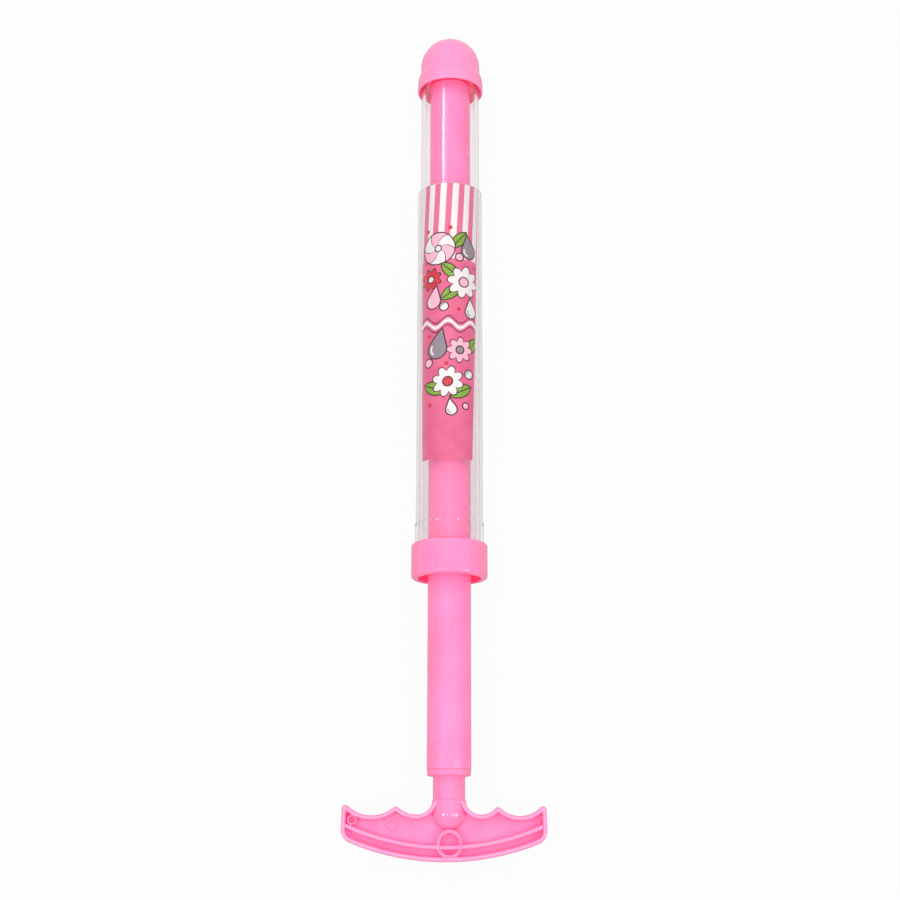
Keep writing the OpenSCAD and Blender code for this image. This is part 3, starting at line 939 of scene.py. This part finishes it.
def ribShell(shape):
    # a narrow section carried along an arc wider than the grip; its ends close to points inside the rim
    web, top, half = shape["web"] / 2, shape["ribThick"] / 2, shape["ribWide"] / 2
    right = [
        (half + shape["ribFoot"], web - shape["sink"], 0),
        (half + shape["ribFlare"], web, shape["ribRoot"]),
        (half - shape["ribDraft"], top, shape["ribRound"])]
    front = rounded(right + [(-x, y, edge) for x, y, edge in right[::-1]], 6)
    section = np.concatenate([front, (front * [1, -1])[::-1]])
    size, aside = shape["rib"], shape["arcAside"]
    turnLeft = math.asin((shape["reach"][0] - shape["ribInset"] + aside) / size)
    turnRight = math.asin((shape["reach"][1] - shape["ribInset"] - aside) / size)
    t = np.linspace(-turnLeft, turnRight, 181)
    t = np.concatenate([t[:1], t, t[-1:]])[:, None]
    keep = np.ones(len(t))
    keep[[0, -1]] = 0
    across, up = section[:, 0] * keep[:, None], section[:, 1] * keep[:, None]
    r = size + across
    points = np.stack([aside + r * np.sin(t), shape["ribHigh"] + size - r * np.cos(t), up + 0 * t], axis=-1)
    shell = points.reshape(-1, 3), gridFaces(len(t), len(section), False, True)[:, ::-1]
    return shell, crestOf(shape, across, up).reshape(-1)


def handleShells(shape):
    # rim with web, rib, ring, ball, stem and the small raised marks; crest holds a value for each point
    grip, rimCrest, caps = gripShell(shape)
    rib, ribCrest = ribShell(shape)
    shells = [grip, rib]
    crest = np.concatenate([rimCrest, ribCrest])
    web, top = shape["web"] / 2, shape["ribThick"] / 2 + shape["ringProud"]
    inner, outer = shape["ring"] - shape["ringWall"], shape["ring"]
    foot, draft, sunk = shape["ringFoot"], shape["ringDraft"], web - shape["sink"]
    root, edge = shape["ringRoot"], shape["ringRound"]
    ring = rounded([
        (inner - foot, sunk, 0), (inner, web, root), (inner + draft, top, edge),
        (outer - draft, top, edge), (outer, web, root), (outer + foot, sunk, 0)], 6)[::-1]
    ringSection = np.concatenate([(ring * [1, -1])[::-1], ring])
    ringPoints, ringQuads = uprightShell(ringSection, (0, shape["ringHigh"]), 128)
    oval = ringPoints * [shape["ringNarrow"], 1, 1] + [shape["ringAside"], 0, 0]
    shells.append((oval, ringQuads))
    ballHigh = shape["ballHigh"]
    shells.append(turnedShell(arcPoints((0, ballHigh), shape["ball"], -90, 90, 64), 128, False))
    neckHigh, stemTop = shape["neckHigh"], ends("handle")[1]
    bandLow = neckHigh - shape["bandLong"]
    slopeRound, lowRound, highRound, seatRound = shape["bandRounds"]
    stem = rounded([
        (0, ballHigh, 0), (shape["neck"], ballHigh, 0),
        (shape["neck"], bandLow - shape["bandSlope"], slopeRound), (shape["band"], bandLow, lowRound),
        (shape["band"], neckHigh, highRound), (shape["stem"], neckHigh, seatRound),
        (shape["stem"], stemTop, shape["stemEdge"]), (0, stemTop, 0)], 7)
    shells.append(turnedShell(stem, 128, False))
    for name, wall, rise, segments, turn in (("pinBoss", "bossWall", "bossHigh", 48, 0),
                                             ("pinMark", "markWall", "markHigh", 64, 0),
                                             ("gatePad", "padWall", "padHigh", 4, 45)):
        u, v, size = shape[name]
        above, inside = web + shape[rise], size - shape[wall]
        soft = min(shape[wall], shape[rise]) * shape["markSoft"]
        raised = rounded([
            (size, sunk, 0), (size, above, soft), (inside, above, soft), (inside, sunk, 0)], 5)
        shells.append(uprightShell(raised, (u, v), segments, turn))
    restCount = sum(len(points) for points, quads in shells) - len(crest)
    return shells, np.concatenate([crest, np.zeros(restCount)]), caps


gripShells, gripCrest, gripCaps = handleShells(gripShape)
handle = makePiece("gripHandle", gripShells, [pinkGrip], 45, crest=gripCrest, caps=gripCaps)
settle(handle, "plunger", "handle")
print("handle built")

# Floor, lamps and camera

stageShape = {
    "floorSize": 8.0, "floorLight": colour(172, 172, 172), "floorDull": colour(168, 168, 169),
    "whiteShare": 0.96, "skyTop": 1.4, "skyEdge": 0.1, "skyAlong": 0.9,
    "mirrorTop": 0.12, "mirrorEdge": 0.35, "mirrorFloor": 0.3,
}


def floorMaterial():
    # white to the eye and in mirrors, with part of its own shading kept for the shadow
    material, tree, surface = newMaterial("paleFloor")
    grain = noiseAt(tree, objectPlace(tree), 40, 3)
    tone = mixColour(tree, grain, stageShape["floorLight"], stageShape["floorDull"])
    matt = put(tree, "ShaderNodeBsdfDiffuse", {"Color": tone})
    white = put(tree, "ShaderNodeEmission", {"Color": (1, 1, 1, 1), "Strength": 1.0})
    path = put(tree, "ShaderNodeLightPath").outputs
    mirrored = times(tree, path["Is Glossy Ray"], stageShape["mirrorFloor"])
    direct = calc(tree, "MAXIMUM", path["Is Camera Ray"], path["Is Transmission Ray"])
    share = times(tree, calc(tree, "MAXIMUM", direct, mirrored), stageShape["whiteShare"])
    whole = put(tree, "ShaderNodeMixShader", {0: share, 1: matt.outputs[0], 2: white.outputs[0]})
    feed(tree, surface, whole.outputs[0])
    return material


def studioSky():
    # soft light from above and along the barrel; the eye sees white, and mirrors see a darker top
    world = bpy.data.worlds.new("studioSky")
    world.use_nodes = True
    tree = world.node_tree
    tree.nodes.clear()
    way = put(tree, "ShaderNodeTexCoord").outputs["Generated"]
    parts = put(tree, "ShaderNodeSeparateXYZ", {0: way}).outputs
    up = parts[2]
    path = put(tree, "ShaderNodeLightPath").outputs
    along = times(tree, times(tree, parts[1], parts[1]), stageShape["skyAlong"])
    glow = calc(tree, "ADD", ramp(tree, up, 0.35, 1.0, stageShape["skyEdge"], stageShape["skyTop"]), along)
    mirror = ramp(tree, up, 0.0, 0.6, stageShape["mirrorEdge"], stageShape["mirrorTop"])
    levels = mixValue(tree, path["Is Glossy Ray"], glow, mirror)
    seen = calc(tree, "MAXIMUM", path["Is Camera Ray"], path["Is Transmission Ray"])
    level = mixValue(tree, seen, levels, 1.0)
    sky = put(tree, "ShaderNodeBackground", {"Color": (1, 1, 1, 1), "Strength": level})
    put(tree, "ShaderNodeOutputWorld", {"Surface": sky.outputs[0]})
    return world


bpy.context.scene.world = studioSky()
size = stageShape["floorSize"] / 2
floorMesh = bpy.data.meshes.new("paleFloor")
corners = [(-size, -size, 0), (size, -size, 0), (size, size, 0), (-size, size, 0)]
floorMesh.from_pydata(corners, [], [(0, 1, 2, 3)])
floorMesh.materials.append(floorMaterial())
floor = bpy.data.objects.new("paleFloor", floorMesh)
bpy.context.scene.collection.objects.link(floor)

# name, lean from straight up in degrees, distance, place along the barrel, width, length, watts
lamps = [
    ("leftPane", -38, 1.15, -0.36, 0.3, 0.26, 3.2), ("middleStrip", -10, 1.15, -0.36, 0.07, 0.26, 0.8),
    ("rightFill", 35, 1.15, -0.36, 0.13, 0.26, 1.5), ("rightFillOuter", 50, 1.15, -0.36, 0.15, 0.26, 1.6),
    ("rightPane", 29, 1.15, -0.38, 0.14, 0.3, 1.9), ("rightPaneOuter", 54, 1.15, -0.44, 0.34, 0.36, 5.2),
    ("rodStrip", -9, 1.15, 0.0, 0.04, 0.24, 0.14), ("rodStripRight", 28, 1.15, 0.0, 0.04, 0.24, 0.1),
    ("barrelStrip", -27, 1.15, 0.745, 0.13, 0.14, 1.15), ("capSoft", 0, 1.0, 1.2, 1.0, 0.6, 5.5),
]
fillOnly = ("capSoft", "rightFill", "rightFillOuter")  # light the plastic and leave no glint
glintOnly = ("rightPane", "rightPaneOuter")  # show as glints and add no light
for name, lean, away, along, wide, long, watts in lamps:
    lamp = bpy.data.lights.new(name, "AREA")
    lamp.shape = "RECTANGLE"
    lamp.size, lamp.size_y = wide, long
    lamp.energy = watts
    holder = bpy.data.objects.new(name, lamp)
    turn = math.radians(lean)
    holder.location = (axisX + away * math.sin(turn), along, axisZ + away * math.cos(turn))
    holder.rotation_euler = (0, turn, 0)
    holder.visible_glossy = name not in fillOnly
    holder.visible_diffuse = name not in glintOnly
    bpy.context.scene.collection.objects.link(holder)

cameraShape = {
    "lens": 60.0, "sensor": 36.0, "tilt": 15.5, "turn": 0.092, "high": 762.0, "behind": 2.0, "aside": 0.55,
}
lens = bpy.data.cameras.new("photoCamera")
lens.lens = cameraShape["lens"]
lens.sensor_width = cameraShape["sensor"]
eye = bpy.data.objects.new("photoCamera", lens)
eye.location = (axisX + cameraShape["aside"] * mm, baseY - cameraShape["behind"] * mm,
                axisZ + cameraShape["high"] * mm)
eye.rotation_euler = (math.radians(cameraShape["tilt"]), 0, math.radians(cameraShape["turn"]))
bpy.context.scene.collection.objects.link(eye)
bpy.context.scene.camera = eye
bpy.context.scene.view_settings.view_transform = "Standard"
print("stage set")
